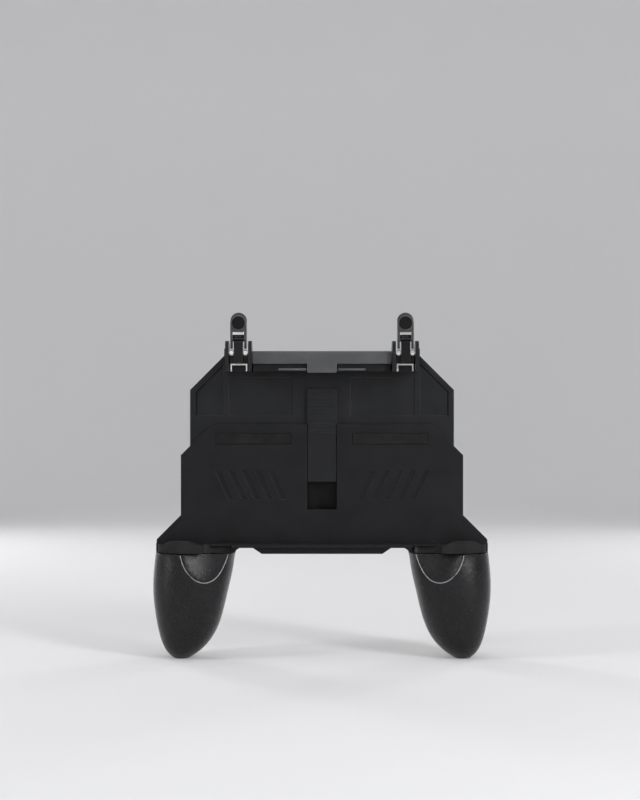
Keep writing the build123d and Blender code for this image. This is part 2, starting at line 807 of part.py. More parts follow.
with BuildPart() as crossbar_cover:
    with BuildSketch(side_plane(-bar_half_width)) as bar_section:
        with Locations(((bar_front_y + jaw_front_y) / 2, (bar_bottom_z + bar_top_z) / 2)):
            Rectangle(jaw_front_y - bar_front_y, bar_height)
        fillet(bar_section.vertices().sort_by(Axis.X)[:2].sort_by(Axis.Y)[-1:], bar_edge_radius)
    extrude(amount=2 * bar_half_width)
    slab(-beam_half_width, beam_half_width, bar_front_y + bar_wall, jaw_front_y,
         bar_bottom_z, beam_top_z, Mode.SUBTRACT)
    with BuildSketch(face_plane(bar_front_y + bar_wall)) as tab:
        with Locations((0, (bar_bottom_z + jaw_rest_z - tab_drop) / 2)):
            Rectangle(2 * tab_half_width, bar_bottom_z - jaw_rest_z + tab_drop)
        fillet(tab.vertices().sort_by(Axis.Y)[:2], tab_corner_radius)
    extrude(tab.sketch, amount=bar_wall)
    for side in (-1, 1):
        rod_along_y(side * cover_screw_x, cover_screw_z, jaw_front_y,
                    jaw_front_y - cover_boss_depth, cover_boss_radius)
    for spot_x, spot_z in jaw_screw_spots:
        screw_bore(spot_x, spot_z, jaw_screw_head_y, jaw_screw_length, jaw_back_y)
save(crossbar_cover, "crossbar_cover")

with BuildPart() as jaw_pad_right:
    slab(tab_half_width + jaw_pad_gap, bar_half_width - jaw_pad_gap,
         bar_front_y + jaw_pad_setback, jaw_front_y - jaw_pad_gap, jaw_rest_z, bar_bottom_z)
    fillet(jaw_pad_right.edges().group_by(Axis.Z)[0], jaw_pad_gap)
    slab(tab_half_width + jaw_pad_gap, tab_half_width + jaw_pad_gap + pad_rib_length,
         bar_front_y + jaw_pad_setback - pad_rib_proud, bar_front_y + jaw_pad_setback,
         jaw_rest_z + pad_rib_rise - pad_rib_height / 2,
         jaw_rest_z + pad_rib_rise + pad_rib_height / 2)
save_pair(jaw_pad_right, "jaw_pad")

with BuildPart() as jaw_screws:
    for spot_x, spot_z in jaw_screw_spots:
        screw(spot_x, spot_z, jaw_screw_head_y, jaw_screw_length)
save(jaw_screws, "jaw_screws")

# Leaf spring: its nose lies in a rack notch and its feet lie in the hump

leaf_nose_y = jaw_back_y - rack_depth + leaf_nose_gap
leaf_foot_y = hump_back_y - hump_wall
with BuildPart() as detent_spring:
    with BuildSketch(side_plane(-leaf_width / 2)):
        with BuildLine() as leaf_line:
            Polyline(
                (leaf_foot_y - leaf_thick / 2, leaf_z - leaf_half_length),
                (leaf_foot_y - leaf_thick / 2, leaf_z - leaf_half_length + leaf_foot_length),
                (pocket_back_y + leaf_thick, leaf_z - leaf_shoulder),
                (leaf_nose_y + leaf_thick / 2, leaf_z - leaf_thick / 2),
                (leaf_nose_y + leaf_thick / 2, leaf_z + leaf_thick / 2),
                (pocket_back_y + leaf_thick, leaf_z + leaf_shoulder),
                (leaf_foot_y - leaf_thick / 2, leaf_z + leaf_half_length - leaf_foot_length),
                (leaf_foot_y - leaf_thick / 2, leaf_z + leaf_half_length),
            )
            offset(amount=leaf_thick / 2, mode=Mode.REPLACE)
        make_face()
    extrude(amount=leaf_width)
save(detent_spring, "detent_spring")

# Trigger brackets

ear_inner_reach = ear_outer_reach - ear_thick
ear_foot_z = jaw_rest_z + bracket_foot_gap
ear_top_z = jaw_rest_z + ear_rise

with BuildPart() as trigger_bracket_right:
    for side in (-1, 1):
        near = trigger_x + min(side * ear_inner_reach, side * ear_outer_reach)
        with BuildSketch(side_plane(near)) as ear:
            Polygon(
                (ear_front_y, ear_foot_z),
                (jaw_front_y, ear_foot_z),
                (jaw_front_y, ear_foot_z + web_rise),
                (pivot_y + ear_shelf, ear_top_z),
                (ear_front_y, ear_top_z),
            )
            top_corners = ear.vertices().sort_by(Axis.Y)[-2:]
            fillet(top_corners, ear_corner_radius)
        extrude(ear.sketch, amount=ear_thick)
    slab(trigger_x - ear_inner_reach, trigger_x + ear_inner_reach, web_front_y, jaw_front_y,
         ear_foot_z, ear_foot_z + web_rise)
    rod_along_x(trigger_x + ear_outer_reach, trigger_x + ear_outer_reach + ear_boss_proud,
                pivot_y, pivot_z, ear_boss_diameter / 2)
    rod_along_x(trigger_x - ear_outer_reach - overrun, trigger_x + ear_outer_reach + overrun,
                pivot_y, pivot_z, main_pin_diameter / 2 + fixed_gap, Mode.SUBTRACT)
    rod_along_y(jaw_screw_spots[-1][0], jaw_screw_spots[-1][1], jaw_front_y,
                web_front_y + part_gap / 2, screw_diameter / 2 + fixed_gap, Mode.SUBTRACT)
save_pair(trigger_bracket_right, "trigger_bracket")

with BuildPart() as bracket_yoke_right:
    slab(trigger_x - yoke_width / 2, trigger_x + yoke_width / 2, yoke_front_y, web_front_y,
         ear_foot_z, bar_bottom_z)
    slab(trigger_x - yoke_width / 2 + yoke_sheet, trigger_x + yoke_width / 2 - yoke_sheet,
         yoke_front_y - overrun, web_front_y + overrun, ear_foot_z - overrun,
         bar_bottom_z - yoke_sheet, Mode.SUBTRACT)
save_pair(bracket_yoke_right, "bracket_yoke")

with BuildPart() as pivot_pin_right:
    rod_along_x(trigger_x - ear_outer_reach, trigger_x + ear_outer_reach + ear_boss_proud,
                pivot_y, pivot_z, main_pin_diameter / 2)
save_pair(pivot_pin_right, "pivot_pin")

# Trigger levers

counter_back_y = pivot_y + counter_rear_reach
paddle_front_y = pivot_y + arm_rear_reach + paddle_gap
stem_front_y = paddle_front_y + (paddle_thick - stem_depth) / 2
stem_foot_z = pivot_z + paddle_bottom_rise - stem_width / 2
stem_top_z = pivot_z + paddle_bottom_rise + stem_height
pocket_radius = spring_radius + spring_wire / 2 + spring_pocket_gap

with BuildPart() as trigger_lever_right:
    with BuildSketch(side_plane(trigger_x - lever_width / 2)):
        with Locations((pivot_y, pivot_z)):
            Circle(lever_radius)
        with Locations((pivot_y + (lever_rear_reach - lever_front_reach) / 2,
                        pivot_z + (lever_radius - lever_drop) / 2)):
            Rectangle(lever_rear_reach + lever_front_reach, lever_radius + lever_drop,
                      mode=Mode.INTERSECT)
    extrude(amount=lever_width)
    slab(trigger_x - counter_width / 2, trigger_x + counter_width / 2,
         pivot_y + counter_front_reach, counter_back_y,
         pivot_z - counter_bottom_drop, pivot_z - counter_top_drop)
    slab(trigger_x - stem_width / 2, trigger_x + stem_width / 2,
         stem_front_y, stem_front_y + stem_depth, stem_foot_z, stem_top_z)
    rod_along_x(trigger_x - lever_width, trigger_x + lever_width, pivot_y, pivot_z,
                main_pin_diameter / 2 + running_gap, Mode.SUBTRACT)
    rod_along_y(trigger_x, spring_z, counter_back_y, counter_back_y - spring_seat_depth,
                pocket_radius, Mode.SUBTRACT)
save_pair(trigger_lever_right, "trigger_lever")

with BuildPart() as paddle_right:
    paddle_round_z = pivot_z + paddle_top_rise - paddle_width / 2
    paddle_foot_z = pivot_z + paddle_bottom_rise
    with BuildSketch(face_plane(paddle_front_y + paddle_thick)):
        with Locations((trigger_x, paddle_round_z)):
            Circle(paddle_width / 2)
        with Locations((trigger_x, (paddle_round_z + paddle_foot_z) / 2)):
            Rectangle(paddle_width, paddle_round_z - paddle_foot_z)
    extrude(amount=paddle_thick)
    fillet(paddle_right.edges().group_by(Axis.Y)[-1], paddle_edge_radius)
    # Socket for the lever's stem, and the room that the lever's shoulder needs
    slab(trigger_x - stem_width / 2 - fixed_gap, trigger_x + stem_width / 2 + fixed_gap,
         stem_front_y - fixed_gap, stem_front_y + stem_depth + fixed_gap,
         stem_foot_z, stem_top_z + fixed_gap, Mode.SUBTRACT)
    slab(trigger_x - lever_width / 2 - fixed_gap, trigger_x + lever_width / 2 + fixed_gap,
         pivot_y - lever_radius, pivot_y + lever_rear_reach + fixed_gap,
         stem_foot_z, pivot_z + lever_radius + fixed_gap, Mode.SUBTRACT)
save_pair(paddle_right, "paddle")

# Pad arms

slab_foot_z = pivot_z + arm_slab_rise
contact_foot_z = pivot_z + contact_rise
contact_top_z = contact_foot_z + contact_height
arm_front_y = pivot_y - arm_front_reach
touch_pad_z = pivot_z + touch_pad_rise
touch_pad_seat_y = arm_front_y + touch_pad_seat


def fork(grow, mode):
    """Sheet legs and contact strip of the steel fork, or their slots when grown."""
    leg_middle = arm_width / 2 - arm_leg_width / 2
    for leg_side in (-1, 1):
        middle = trigger_x + leg_side * leg_middle
        slab(middle - fork_leg_width / 2 - grow, middle + fork_leg_width / 2 + grow,
             pivot_y - fork_leg_thick / 2 - grow, pivot_y + fork_leg_thick / 2 + grow,
             pivot_z + eyelet_diameter / 2 - fork_leg_bite, contact_top_z + grow, mode)
    slab(trigger_x - leg_middle, trigger_x + leg_middle,
         pivot_y - fork_leg_thick / 2 - grow, pivot_y + fork_leg_thick / 2 + grow,
         contact_foot_z - grow, contact_top_z + grow, mode)
    slab(trigger_x - contact_width / 2 - grow, trigger_x + contact_width / 2 + grow,
         arm_front_y - running_gap, pivot_y, contact_foot_z - grow, contact_top_z + grow, mode)


with BuildPart() as pad_arm_right:
    arm_round_z = pivot_z + arm_top_rise - arm_width / 2
    with BuildSketch(face_plane(pivot_y + arm_rear_reach)):
        with Locations((trigger_x, arm_round_z)):
            Circle(arm_width / 2)
        with Locations((trigger_x, (arm_round_z + slab_foot_z) / 2)):
            Rectangle(arm_width, arm_round_z - slab_foot_z)
    extrude(amount=arm_rear_reach + arm_front_reach)
    for side in (-1, 1):
        near, far = sorted((side * (arm_width / 2 - arm_leg_width), side * arm_width / 2))
        slab(trigger_x + near, trigger_x + far, pivot_y - arm_rear_reach,
             pivot_y + arm_rear_reach - paddle_gap, pivot_z + arm_leg_foot_rise, slab_foot_z)
    # Raised ring and seat of the touch pad
    rod_along_y(trigger_x, touch_pad_z, arm_front_y, arm_front_y - pad_ring_proud,
                touch_pad_radius + pad_ring_width)
    rod_along_y(trigger_x, touch_pad_z, touch_pad_seat_y, arm_front_y - overrun,
                touch_pad_radius + fixed_gap, Mode.SUBTRACT)
    # Window under the contact strip
    slab(trigger_x - contact_width / 2, trigger_x + contact_width / 2, arm_front_y - overrun,
         arm_front_y + window_depth, contact_foot_z - window_height, contact_foot_z,
         Mode.SUBTRACT)
    fork(fixed_gap, Mode.SUBTRACT)
save_pair(pad_arm_right, "pad_arm")

with BuildPart() as arm_fork_right:
    fork(0, Mode.ADD)
    for side in (-1, 1):
        near, far = sorted((side * eyelet_inner_reach, side * eyelet_outer_reach))
        rod_along_x(trigger_x + near, trigger_x + far, pivot_y, pivot_z, eyelet_diameter / 2)
    rod_along_x(trigger_x - eyelet_outer_reach, trigger_x + eyelet_outer_reach,
                pivot_y, pivot_z, main_pin_diameter / 2 + running_gap, Mode.SUBTRACT)
save_pair(arm_fork_right, "arm_fork")

with BuildPart() as touch_pad_right:
    rod_along_y(trigger_x, touch_pad_z, touch_pad_seat_y, arm_front_y - touch_pad_proud,
                touch_pad_radius)
    fillet(touch_pad_right.edges().group_by(Axis.Y)[0], touch_pad_dome)
save_pair(touch_pad_right, "touch_pad")

# Return springs: helices of quarter turns, each joined by two arcs

spring_start_y = counter_back_y - spring_seat_depth + fixed_gap
spring_end_y = web_front_y - fixed_gap


def biarc(start, start_way, end, end_way):
    """Two arcs that leave start along one way and reach end along the other."""
    across = end - start
    ways = start_way + end_way
    square = 2 * (start_way.dot(end_way) - 1)
    linear = -2 * across.dot(ways)
    reach = (-linear - sqrt(linear**2 - 4 * square * across.dot(across))) / (2 * square)
    start_knee = start + start_way * reach
    end_knee = end - end_way * reach
    joint = (start_knee + end_knee) / 2
    TangentArc(start, joint, tangent=start_way)
    TangentArc(joint, end, tangent=end_knee - start_knee)


def coil_path():
    """Centre line of a return spring, with straight ends along its axis."""
    coil_start_y = spring_start_y + spring_wire
    coil_end_y = spring_end_y - spring_wire
    steps = spring_turns * quarter_turns
    quarter_rise = (coil_end_y - coil_start_y - 2 * spring_end_rise) / (steps - 2)
    along = Vector(0, 1, 0)
    places = []
    ways = []
    for step in range(steps + 1):
        angle = 2 * pi * step / quarter_turns
        y = coil_start_y + spring_end_rise + quarter_rise * (step - 1)
        places.append(Vector(trigger_x + spring_radius * cos(angle), y,
                             spring_z + spring_radius * sin(angle)))
        ways.append(Vector(-spring_radius * sin(angle), quarter_rise * quarter_turns / (2 * pi),
                           spring_radius * cos(angle)).normalized())
    places[0] = Vector(places[0].X, coil_start_y, places[0].Z)
    places[-1] = Vector(places[-1].X, coil_end_y, places[-1].Z)
    ways[0] = along
    ways[-1] = along
    Line(places[0] - along * spring_wire, places[0])
    for step in range(steps):
        biarc(places[step], ways[step], places[step + 1], ways[step + 1])
    Line(places[-1], places[-1] + along * spring_wire)


with BuildPart() as return_spring_right:
    with BuildLine() as coil:
        coil_path()
    coil_wire = coil.wires()[0]
    with BuildSketch(Plane(coil_wire @ 0, z_dir=(0, 1, 0))):
        Circle(spring_wire / 2)
    sweep(path=coil_wire)
save_pair(return_spring_right, "return_spring")

samples = [coil_wire @ (step / spring_samples) for step in range(spring_samples + 1)]
apart = int(spring_samples / spring_turns / 2)
least_gap = min(
    (samples[first] - samples[second]).length
    for first in range(0, spring_samples - apart)
    for second in range(first + apart, spring_samples + 1)
) - spring_wire
print(f"return spring: wire {coil_wire.length:.1f} mm, least gap to itself {least_gap:.2f} mm")
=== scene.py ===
import json
import math

import bmesh
import bpy
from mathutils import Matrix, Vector
from mathutils.bvhtree import BVHTree


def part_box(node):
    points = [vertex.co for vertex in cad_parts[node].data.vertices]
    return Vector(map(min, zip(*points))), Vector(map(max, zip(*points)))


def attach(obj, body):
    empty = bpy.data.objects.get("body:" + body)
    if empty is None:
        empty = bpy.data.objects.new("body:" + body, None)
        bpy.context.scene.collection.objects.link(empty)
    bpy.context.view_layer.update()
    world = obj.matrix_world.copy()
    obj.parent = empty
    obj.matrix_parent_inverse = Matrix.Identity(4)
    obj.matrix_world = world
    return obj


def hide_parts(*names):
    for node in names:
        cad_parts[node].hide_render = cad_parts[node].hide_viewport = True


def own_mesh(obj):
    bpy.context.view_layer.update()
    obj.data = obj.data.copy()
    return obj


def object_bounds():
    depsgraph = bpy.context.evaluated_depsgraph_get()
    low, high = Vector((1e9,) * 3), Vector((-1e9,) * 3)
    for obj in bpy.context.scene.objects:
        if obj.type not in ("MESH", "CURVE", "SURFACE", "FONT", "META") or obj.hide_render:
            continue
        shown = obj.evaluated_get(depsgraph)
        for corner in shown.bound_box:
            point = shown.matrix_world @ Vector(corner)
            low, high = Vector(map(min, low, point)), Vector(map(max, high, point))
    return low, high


# Dressing of a phone-clamp controller: finishes for the moulded, rubber and steel pieces,
# a pale stage and soft light. Lengths are in metres, in the frame of the loaded model.

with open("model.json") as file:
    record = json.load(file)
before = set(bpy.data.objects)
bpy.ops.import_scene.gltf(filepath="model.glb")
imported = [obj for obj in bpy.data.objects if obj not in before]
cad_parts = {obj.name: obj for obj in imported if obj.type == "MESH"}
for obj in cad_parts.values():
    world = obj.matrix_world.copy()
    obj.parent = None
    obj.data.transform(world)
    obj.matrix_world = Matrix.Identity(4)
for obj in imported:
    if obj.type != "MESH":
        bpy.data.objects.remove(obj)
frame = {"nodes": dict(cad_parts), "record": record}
nodes = frame["nodes"]
cad_low, cad_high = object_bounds()

MM = 0.001

# View: level camera in front of the model, at the height of its upper third
CAMERA_X = -0.0009
CAMERA_DISTANCE = 0.805
CAMERA_HEIGHT = 0.117
CAMERA_LENS_MM = 79.6
CAMERA_SENSOR_MM = 36.0

# Stage
STAGE_FLAT_RADIUS = 0.9
STAGE_CORNER_RADIUS = 0.5
STAGE_HEIGHT = 2.2
STAGE_STEPS = 16
STAGE_SIDES = 96
FLOOR_COLOR = (0.74, 0.74, 0.75, 1)
FLOOR_ROUGHNESS = 0.85
FLOOR_GLOSS = 0.2
FLOOR_GLOW = 0.12

# Light: each lamp's place, its width and height, and its power in watts
WORLD_STRENGTH = 0.2
LAMP_TARGET = (0, 0, 0.08)
LAMPS = {
    "top_softbox": ((0.0, -0.10, 1.1), (1.0, 0.8), 2.4),
    "front_strip": ((-0.17, -0.93, 0.55), (0.20, 0.8), 0.7),
    "left_strip": ((-0.73, -0.33, 0.38), (0.10, 0.6), 2.0),
    "right_strip": ((0.53, -0.63, 0.38), (0.14, 0.6), 4.3),
    "rear_left_strip": ((-0.47, 0.65, 0.36), (0.12, 0.5), 1.7),
    "rear_right_strip": ((0.47, 0.65, 0.36), (0.12, 0.5), 1.2),
}

# Noise values mostly lie between these two
NOISE_LOW = 0.3
NOISE_HIGH = 0.7
NOISE_ROUGHNESS = 0.55

# Rounded edges, and a painted highlight: a lighter tone along sharp edges, as if they catch the
# light
EDGE_ROUND = 0.28 * MM
EDGE_SAMPLES = 6
EDGE_TURN_START = 0.985
EDGE_TURN_END = 0.93
EDGE_LIGHTER = 2.6

# Moulded plastics: dark tone, light tone, roughness, grain size, grain depth, gloss
MOTTLE_SIZE = 9 * MM
POLISH_SIZE = 14 * MM
MOULDED = {
    "shell_black": ((0.006, 0.006, 0.007), (0.010, 0.010, 0.0115),
                    0.42, 0.35 * MM, 0.03 * MM, 0.2),
    "trim_black": ((0.004, 0.004, 0.0045), (0.006, 0.006, 0.007),
                   0.55, 0.30 * MM, 0.03 * MM, 0.18),
    "jaw_black": ((0.008, 0.0083, 0.009), (0.013, 0.0135, 0.015),
                  0.40, 0.35 * MM, 0.03 * MM, 0.22),
    "bar_grey": ((0.060, 0.061, 0.065), (0.078, 0.079, 0.084),
                 0.38, 0.30 * MM, 0.02 * MM, 0.4),
    "bracket_black": ((0.009, 0.0095, 0.011), (0.014, 0.0145, 0.016),
                      0.34, 0.30 * MM, 0.015 * MM, 0.25),
    "lever_gloss": ((0.004, 0.004, 0.0045), (0.006, 0.006, 0.0065),
                    0.16, 1.0 * MM, 0.0, 0.35),
    # The paddle's tones are a little lighter than the arm's: painted light, as the paddle
    # catches more light
    "paddle_black": ((0.046, 0.047, 0.050), (0.060, 0.061, 0.065),
                     0.36, 0.30 * MM, 0.015 * MM, 0.35),
    "arm_black": ((0.042, 0.043, 0.046), (0.056, 0.057, 0.061),
                  0.34, 0.30 * MM, 0.015 * MM, 0.35),
    # Painted highlight: light tones for the line along each dish rim
    "rim_line": ((0.24, 0.242, 0.248), (0.30, 0.302, 0.310),
                 0.24, 0.30 * MM, 0.0, 0.5),
    # Painted highlight: light grey for the strip on each jaw pad's rib
    "inlay_grey": ((0.070, 0.071, 0.076), (0.095, 0.096, 0.102),
                   0.34, 0.30 * MM, 0.01 * MM, 0.5),
}

# Pebbled palm grips: dark tone, light tone, roughness, pebble size, pebble depth, gloss
PEBBLE_SMOOTH = 0.6
PEBBLE_FINE_SHARE = 0.6
PEBBLE_MOTTLE_SIZE = 11 * MM
PEBBLE_POLISH_SIZE = 3 * MM
PEBBLED = {
    "grip_black": ((0.0035, 0.0037, 0.0042), (0.0060, 0.0063, 0.0074),
                   0.28, 0.50 * MM, 0.055 * MM, 0.34),
}

# Rubbers: dark tone, light tone, roughness
DUST_SIZE = 6 * MM
DUST_LOW = 0.4
DUST_HIGH = 0.75
RUBBER_GLOSS = 0.15
RUBBER_TOOTH = 0.5 * MM
RUBBER_TOOTH_DEPTH = 0.03 * MM
RUBBER_EDGE_ROUND = 1.4 * EDGE_ROUND
RUBBERS = {
    "pad_rubber": ((0.010, 0.010, 0.010), (0.018, 0.018, 0.018), 0.75),
    "rest_rubber": ((0.017, 0.017, 0.018), (0.027, 0.027, 0.028), 0.85),
    "touch_rubber": ((0.004, 0.004, 0.004), (0.007, 0.007, 0.007), 0.45),
}

# Steels: colour, roughness, stretch of the drawing lines along each axis, their size and depth
STEEL_EDGE_ROUND = 0.5 * EDGE_ROUND
STEELS = {
    "bright_steel": ((0.82, 0.80, 0.77), 0.18, (0.2, 0.2, 0.2), 0.5 * MM, 0.001 * MM),
    "pin_steel": ((0.70, 0.70, 0.70), 0.22, (0.1, 1, 1), 0.25 * MM, 0.004 * MM),
    "spring_steel": ((0.62, 0.62, 0.63), 0.28, (1, 1, 1), 0.25 * MM, 0.004 * MM),
    "screw_steel": ((0.30, 0.30, 0.31), 0.35, (1, 1, 1), 0.25 * MM, 0.004 * MM),
}

# Painted highlight: a light line along the rim of each thumb dish, for the glint on its edge
RIM_RADIUS = 0.19 * MM
RIM_SINK = 0.03 * MM
RIM_CENTRE_X = 53.0 * MM
RIM_HALF_WIDTH = 10.8 * MM
RIM_HALF_HEIGHT = 12.9 * MM
RIM_REACH = 0.16
RIM_PROBES = 80
RIM_STEPS = 60
RIM_END_TURN = 0.03
RIM_SMOOTH_PASSES = 3

# Dark plate in the window of each pad arm
WINDOW_WIDTH = 4.6 * MM
WINDOW_HEIGHT = 1.5 * MM
WINDOW_THICK = 0.25 * MM
WINDOW_Z = 145.2 * MM
WINDOW_SETBACK = 0.3 * MM

# Painted highlight: a light grey strip on the rib of each jaw pad, for the light the rib would
# catch
RIB_LIGHT_HEIGHT = 0.9 * MM
RIB_LIGHT_THICK = 0.45 * MM
RIB_LIGHT_ROUND = 0.2 * MM
RIB_LIGHT_RISE = 1.0 * MM
RIB_LIGHT_LENGTH = 12.6 * MM
RIB_LIGHT_SINK = 0.1 * MM


# Node helpers


def add_node(tree, kind, **settings):
    """New shader node with its settings."""
    node = tree.nodes.new(kind)
    for name, value in settings.items():
        setattr(node, name, value)
    return node


def new_material(name):
    """Empty node material: (material, tree, principled shader)."""
    material = bpy.data.materials.new(name)
    material.use_nodes = True
    tree = material.node_tree
    tree.nodes.clear()
    shader = add_node(tree, "ShaderNodeBsdfPrincipled")
    output = add_node(tree, "ShaderNodeOutputMaterial")
    tree.links.new(shader.outputs["BSDF"], output.inputs["Surface"])
    return material, tree, shader


def coordinates(tree, stretch=(1, 1, 1)):
    """Place on the object, stretched along its axes."""
    place = add_node(tree, "ShaderNodeTexCoord")
    mapping = add_node(tree, "ShaderNodeMapping")
    mapping.inputs["Scale"].default_value = stretch
    tree.links.new(place.outputs["Object"], mapping.inputs["Vector"])
    return mapping.outputs["Vector"]


def noise(tree, vector, cell, detail=3.0):
    """Cloudy noise with features of the given size in metres."""
    node = add_node(tree, "ShaderNodeTexNoise")
    node.inputs["Scale"].default_value = 1 / cell
    node.inputs["Detail"].default_value = detail
    node.inputs["Roughness"].default_value = NOISE_ROUGHNESS
    tree.links.new(vector, node.inputs["Vector"])
    return node.outputs["Fac"]


def cells(tree, vector, cell):
    """Rounded pebbles of the given size in metres."""
    node = add_node(tree, "ShaderNodeTexVoronoi", feature="SMOOTH_F1")
    node.inputs["Scale"].default_value = 1 / cell
    node.inputs["Smoothness"].default_value = PEBBLE_SMOOTH
    tree.links.new(vector, node.inputs["Vector"])
    return node.outputs["Distance"]


def spread(tree, value, low, high, start=NOISE_LOW, end=NOISE_HIGH):
    """Maps a value between start and end to a range."""
    node = add_node(tree, "ShaderNodeMapRange")
    node.inputs["From Min"].default_value = start
    node.inputs["From Max"].default_value = end
    node.inputs["To Min"].default_value = low
    node.inputs["To Max"].default_value = high
    tree.links.new(value, node.inputs["Value"])
    return node.outputs["Result"]


def two_tone(tree, value, dark, light):
    """Colour between two tones, each a colour or a socket, by a value from 0 to 1."""
    node = add_node(tree, "ShaderNodeMix", data_type="RGBA")
    sockets = [socket for socket in node.inputs if socket.type == "RGBA"]
    for socket, tone in zip(sockets, (dark, light)):
        if isinstance(tone, bpy.types.NodeSocket):
            tree.links.new(tone, socket)
        else:
            socket.default_value = (*tone, 1)
    tree.links.new(value, node.inputs["Factor"])
    return [socket for socket in node.outputs if socket.type == "RGBA"][0]


def rounded_edges(tree, radius):
    """Surface direction with sharp edges rounded off."""
    node = add_node(tree, "ShaderNodeBevel", samples=EDGE_SAMPLES)
    node.inputs["Radius"].default_value = radius
    return node.outputs["Normal"]


def edge_highlight_mask(tree, normal):
    """Mask for the painted edge highlight: 1 where the rounded surface direction leaves the
    face's own, near sharp edges.
    """
    geometry = add_node(tree, "ShaderNodeNewGeometry")
    match = add_node(tree, "ShaderNodeVectorMath", operation="DOT_PRODUCT")
    tree.links.new(normal, match.inputs[0])
    tree.links.new(geometry.outputs["Normal"], match.inputs[1])
    return spread(tree, match.outputs["Value"], 0, 1, EDGE_TURN_START, EDGE_TURN_END)


def bump(tree, height, depth, normal):
    """Small relief on top of a surface direction."""
    node = add_node(tree, "ShaderNodeBump")
    node.inputs["Distance"].default_value = depth
    tree.links.new(height, node.inputs["Height"])
    tree.links.new(normal, node.inputs["Normal"])
    return node.outputs["Normal"]


# Finishes


def moulded(name, dark, light, rough, grain_cell, grain_depth, gloss):
    """Moulded plastic with fine grain, faint mottling, handled patches and a painted highlight
    along its sharp edges.
    """
    material, tree, shader = new_material(name)
    vector = coordinates(tree)
    mottle = noise(tree, vector, MOTTLE_SIZE)
    tone = two_tone(tree, spread(tree, mottle, 0, 1), dark, light)
    normal = rounded_edges(tree, EDGE_ROUND)
    # Painted highlight: sharp edges get a lighter tone, as if they catch the light
    edge_highlight_tone = tuple(EDGE_LIGHTER * value for value in light)
    tree.links.new(two_tone(tree, edge_highlight_mask(tree, normal), tone, edge_highlight_tone),
                   shader.inputs["Base Color"])
    polish = noise(tree, vector, POLISH_SIZE, detail=2.0)
    tree.links.new(spread(tree, polish, rough - 0.05, rough + 0.06), shader.inputs["Roughness"])
    shader.inputs["Specular IOR Level"].default_value = gloss
    if grain_depth > 0:
        fine = noise(tree, vector, grain_cell, detail=2.0)
        normal = bump(tree, fine, grain_depth, normal)
    tree.links.new(normal, shader.inputs["Normal"])
    return material


def pebbled(name, dark, light, rough, cell, depth, gloss):
    """Plastic with a leather-like pebbled grain over faint mottling."""
    material, tree, shader = new_material(name)
    vector = coordinates(tree)
    polish = noise(tree, vector, PEBBLE_POLISH_SIZE, detail=2.0)
    mottle = spread(tree, noise(tree, vector, PEBBLE_MOTTLE_SIZE), 0, 1)
    tree.links.new(two_tone(tree, mottle, dark, light), shader.inputs["Base Color"])
    pebbles = cells(tree, vector, cell)
    fine = noise(tree, vector, cell * PEBBLE_FINE_SHARE)
    mixed = add_node(tree, "ShaderNodeMath", operation="ADD")
    tree.links.new(pebbles, mixed.inputs[0])
    tree.links.new(fine, mixed.inputs[1])
    tree.links.new(spread(tree, polish, rough - 0.02, rough + 0.02), shader.inputs["Roughness"])
    shader.inputs["Specular IOR Level"].default_value = gloss
    normal = bump(tree, mixed.outputs["Value"], depth, rounded_edges(tree, EDGE_ROUND))
    tree.links.new(normal, shader.inputs["Normal"])
    return material


def rubber(name, dark, light, rough):
    """Dull rubber with fine tooth and dusty patches."""
    material, tree, shader = new_material(name)
    vector = coordinates(tree)
    dust = spread(tree, noise(tree, vector, DUST_SIZE, detail=4.0), 0, 1, DUST_LOW, DUST_HIGH)
    tree.links.new(two_tone(tree, dust, dark, light), shader.inputs["Base Color"])
    shader.inputs["Roughness"].default_value = rough
    shader.inputs["Specular IOR Level"].default_value = RUBBER_GLOSS
    fine = noise(tree, vector, RUBBER_TOOTH, detail=2.0)
    normal = bump(tree, fine, RUBBER_TOOTH_DEPTH, rounded_edges(tree, RUBBER_EDGE_ROUND))
    tree.links.new(normal, shader.inputs["Normal"])
    return material


def steel(name, color, rough, stretch, lines, depth):
    """Plated steel with fine drawing lines along one axis."""
    material, tree, shader = new_material(name)
    vector = coordinates(tree, stretch)
    shader.inputs["Base Color"].default_value = (*color, 1)
    shader.inputs["Metallic"].default_value = 1.0
    streak = noise(tree, vector, lines, detail=2.0)
    tree.links.new(spread(tree, streak, rough - 0.06, rough + 0.10), shader.inputs["Roughness"])
    normal = bump(tree, streak, depth, rounded_edges(tree, STEEL_EDGE_ROUND))
    tree.links.new(normal, shader.inputs["Normal"])
    return material


finishes = {}
for make, table in ((moulded, MOULDED), (pebbled, PEBBLED), (rubber, RUBBERS), (steel, STEELS)):
    for finish_name, values in table.items():
        finishes[finish_name] = make(finish_name, *values)

for part in frame["record"]["subparts"]:
    obj = nodes[part["node"]]
    finish = finishes[part["material_slot"]]
    if not obj.material_slots:
        obj.data.materials.append(finish)
    for place in obj.material_slots:
        place.material = finish


# Painted highlight lines, small trim and the return springs


def add_piece(name, mesh, body, finish):
    """New smooth-shaded piece that rides on a body."""
    for face in mesh.polygons:
        face.use_smooth = True
    mesh.materials.append(finish)
    piece = bpy.data.objects.new(name, mesh)
    bpy.context.scene.collection.objects.link(piece)
    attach(piece, body)
    return piece


